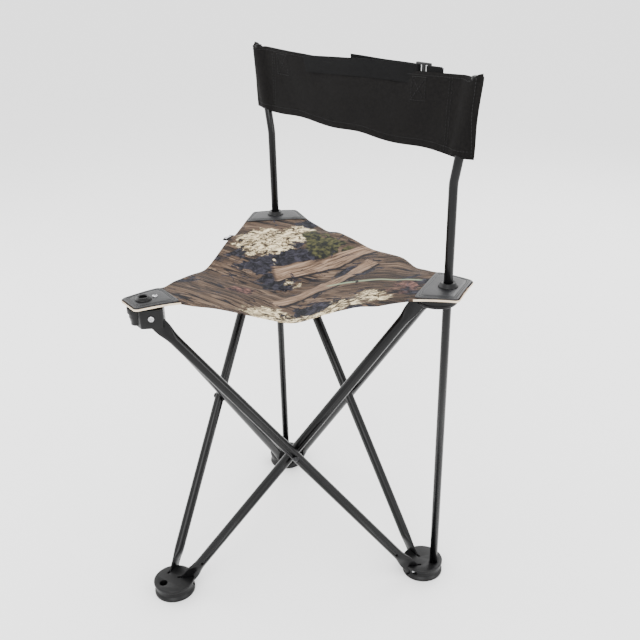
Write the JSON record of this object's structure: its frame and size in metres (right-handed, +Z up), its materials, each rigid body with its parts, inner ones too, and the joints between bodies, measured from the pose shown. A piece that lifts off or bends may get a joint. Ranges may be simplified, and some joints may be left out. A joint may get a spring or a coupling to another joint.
{
  "type": "three leg stool",
  "caption": "Folding stool: crossing tube legs hinged to round feet and corner hubs, a sling seat and a fabric backrest on two uprights.",
  "frame": {"origin": "on the floor, under the middle of the open stool's bounding box", "axes": "+Z up, -Y to the front corner (the one with no upright), +X along the backrest to its right-hand end seen from the front"},
  "size_m": [0.5292, 0.4474, 0.8065],
  "materials": {
    "coated_steel": "semi-gloss black powder coat",
    "black_plastic": "satin moulded black",
    "bright_steel": "dull zinc",
    "blackened_steel": "blackened",
    "camo_cloth": "printed woven polyester, leaf and bark pattern",
    "black_leatherette": "satin black leatherette",
    "black_cloth": "matt black woven polyester",
    "webbing": "black webbing",
    "label_cloth": "black woven label"
  },
  "bodies": {
    "foot_a": {"foot_a": "black_plastic", "foot_pin_c_to_a": "bright_steel", "foot_pin_b_to_a": "bright_steel"},
    "tube_c_to_a": {"cross_tube_c_to_a": "coated_steel", "cross_rivet_ac": "blackened_steel", "cross_spacer_ac": "black_plastic"},
    "tube_a_to_c": {"cross_tube_a_to_c": "coated_steel"},
    "hub_c": {"top_hub_c": "black_plastic", "hub_screw_c_to_a": "bright_steel", "hub_screw_c_to_b": "bright_steel", "corner_patch_c": "black_leatherette", "corner_ring_c": "black_plastic"},
    "foot_c": {"foot_c": "black_plastic", "foot_pin_a_to_c": "bright_steel", "foot_pin_b_to_c": "bright_steel", "upright_c": "coated_steel", "upright_cap_c": "black_plastic"},
    "hub_a": {"top_hub_a": "black_plastic", "hub_screw_a_to_b": "bright_steel", "hub_screw_a_to_c": "bright_steel", "corner_patch_a": "black_leatherette", "corner_ring_a": "black_plastic", "front_screw": "bright_steel", "seat_sling": "camo_cloth", "seat_tag": "label_cloth"},
    "tube_b_to_a": {"cross_tube_b_to_a": "coated_steel"},
    "tube_a_to_b": {"cross_tube_a_to_b": "coated_steel", "cross_rivet_ba": "blackened_steel", "cross_spacer_ba": "black_plastic"},
    "hub_b": {"top_hub_b": "black_plastic", "hub_screw_b_to_a": "bright_steel", "hub_screw_b_to_c": "bright_steel", "corner_patch_b": "black_leatherette", "corner_ring_b": "black_plastic"},
    "foot_b": {"foot_b": "black_plastic", "foot_pin_a_to_b": "bright_steel", "foot_pin_c_to_b": "bright_steel", "upright_b": "coated_steel", "upright_cap_b": "black_plastic", "backrest_sleeve": "black_cloth", "carry_strap": "webbing", "strap_anchor": "webbing", "strap_buckle": "black_plastic"},
    "tube_b_to_c": {"cross_tube_b_to_c": "coated_steel", "cross_rivet_cb": "blackened_steel", "cross_spacer_cb": "black_plastic"},
    "tube_c_to_b": {"cross_tube_c_to_b": "coated_steel"}
  },
  "joints": [
    {"name": "fold", "type": "hinge", "parent": "foot_a", "child": "tube_c_to_a", "pos_m": [0.0076, -0.17447, 0.01349], "axis": [0.866, -0.5, 0], "range_deg": [0, 28], "deforming": ["seat_sling", "seat_tag", "backrest_sleeve", "carry_strap", "strap_anchor", "strap_buckle"]},
    {"name": "hub_c_level", "type": "hinge", "parent": "tube_c_to_a", "child": "hub_c", "pos_m": [0.19696, 0.15352, 0.49649], "axis": [0.866, -0.5, 0], "range_deg": [-28, 0]},
    {"name": "cross_ac", "type": "hinge", "parent": "tube_c_to_a", "child": "tube_a_to_c", "pos_m": [0.10228, -0.01048, 0.25499], "axis": [0.866, -0.5, 0], "range_deg": [-56, 0]},
    {"name": "foot_c_level", "type": "hinge", "parent": "tube_a_to_c", "child": "foot_c", "pos_m": [0.21177, 0.14497, 0.01349], "axis": [0.866, -0.5, 0], "range_deg": [0, 28]},
    {"name": "hub_a_level", "type": "hinge", "parent": "tube_a_to_c", "child": "hub_a", "pos_m": [0.0224, -0.18302, 0.49649], "axis": [0.866, -0.5, 0], "range_deg": [0, 28]},
    {"name": "fold_ba", "type": "hinge", "parent": "foot_a", "child": "tube_b_to_a", "pos_m": [-0.0224, -0.18302, 0.01349], "axis": [-0.866, -0.5, 0], "range_deg": [-28, 0]},
    {"name": "hub_b_level", "type": "hinge", "parent": "tube_b_to_a", "child": "hub_b", "pos_m": [-0.21177, 0.14497, 0.49649], "axis": [-0.866, -0.5, 0], "range_deg": [0, 28]},
    {"name": "cross_ba", "type": "hinge", "parent": "tube_b_to_a", "child": "tube_a_to_b", "pos_m": [-0.11709, -0.01903, 0.25499], "axis": [-0.866, -0.5, 0], "range_deg": [0, 56]},
    {"name": "foot_b_level", "type": "hinge", "parent": "tube_a_to_b", "child": "foot_b", "pos_m": [-0.19696, 0.15352, 0.01349], "axis": [-0.866, -0.5, 0], "range_deg": [-28, 0]},
    {"name": "fold_cb", "type": "hinge", "parent": "foot_c", "child": "tube_b_to_c", "pos_m": [0.18936, 0.16667, 0.01349], "axis": [0, 1, 0], "range_deg": [0, 28]},
    {"name": "cross_cb", "type": "hinge", "parent": "tube_b_to_c", "child": "tube_c_to_b", "pos_m": [0, 0.16667, 0.25499], "axis": [0, 1, 0], "range_deg": [-56, 0]}
  ],
  "couplings": [
    {"joint": "hub_c_level", "follows": "fold", "ratio": -1},
    {"joint": "cross_ac", "follows": "fold", "ratio": -2},
    {"joint": "foot_c_level", "follows": "fold", "ratio": 1},
    {"joint": "hub_a_level", "follows": "fold", "ratio": 1},
    {"joint": "fold_ba", "follows": "fold", "ratio": -1},
    {"joint": "hub_b_level", "follows": "fold", "ratio": 1},
    {"joint": "cross_ba", "follows": "fold", "ratio": 2},
    {"joint": "foot_b_level", "follows": "fold", "ratio": -1},
    {"joint": "fold_cb", "follows": "fold", "ratio": 1},
    {"joint": "cross_cb", "follows": "fold", "ratio": -2}
  ]
}
